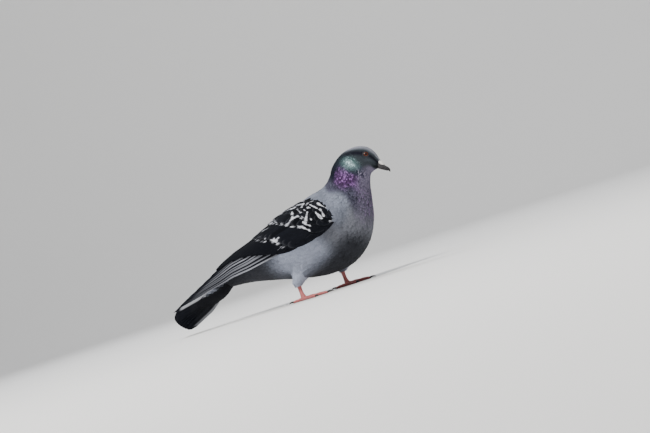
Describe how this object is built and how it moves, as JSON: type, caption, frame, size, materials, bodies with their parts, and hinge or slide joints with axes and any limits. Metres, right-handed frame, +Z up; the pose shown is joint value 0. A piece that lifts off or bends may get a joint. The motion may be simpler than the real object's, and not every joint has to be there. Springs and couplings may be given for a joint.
{
  "type": "feral pigeon model",
  "caption": "Life-size still model of a standing feral pigeon with folded chequered wings, one foot a step ahead of the other.",
  "frame": {"origin": "on the floor, under the middle of the bounding box", "axes": "+X towards the bill, +Y to the bird's left, +Z up"},
  "size_m": [0.2916, 0.0982, 0.141],
  "materials": {
    "body_feathers": "matt short feathers, slate grey, paler on the flank",
    "neck_feathers": "short feathers with a purple and green sheen",
    "head_feathers": "fine dark slate feathers",
    "wing_feathers": "dark flight feathers and coverts with pale chequers",
    "tail_feathers": "dark tail feathers with a pale outer edge",
    "thigh_feathers": "soft pale grey feathers",
    "foot_skin": "scaly coral red skin",
    "claw": "dark horn",
    "horn": "dark horn, satin",
    "cere": "chalky white skin",
    "eye": "wet, orange iris round a black pupil"
  },
  "bodies": {
    "root": {"torso": "body_feathers", "neck": "neck_feathers", "head": "head_feathers", "tail": "tail_feathers", "bill_upper": "horn", "bill_lower": "horn", "cere": "cere", "wing_right": "wing_feathers", "wing_left": "wing_feathers", "thigh_right": "thigh_feathers", "thigh_left": "thigh_feathers", "foot_right": "foot_skin", "foot_left": "foot_skin", "eye_right": "eye", "eye_left": "eye", "claw_middle_right": "claw", "claw_inner_right": "claw", "claw_outer_right": "claw", "claw_hind_right": "claw", "claw_middle_left": "claw", "claw_inner_left": "claw", "claw_outer_left": "claw", "claw_hind_left": "claw"}
  },
  "joints": []
}
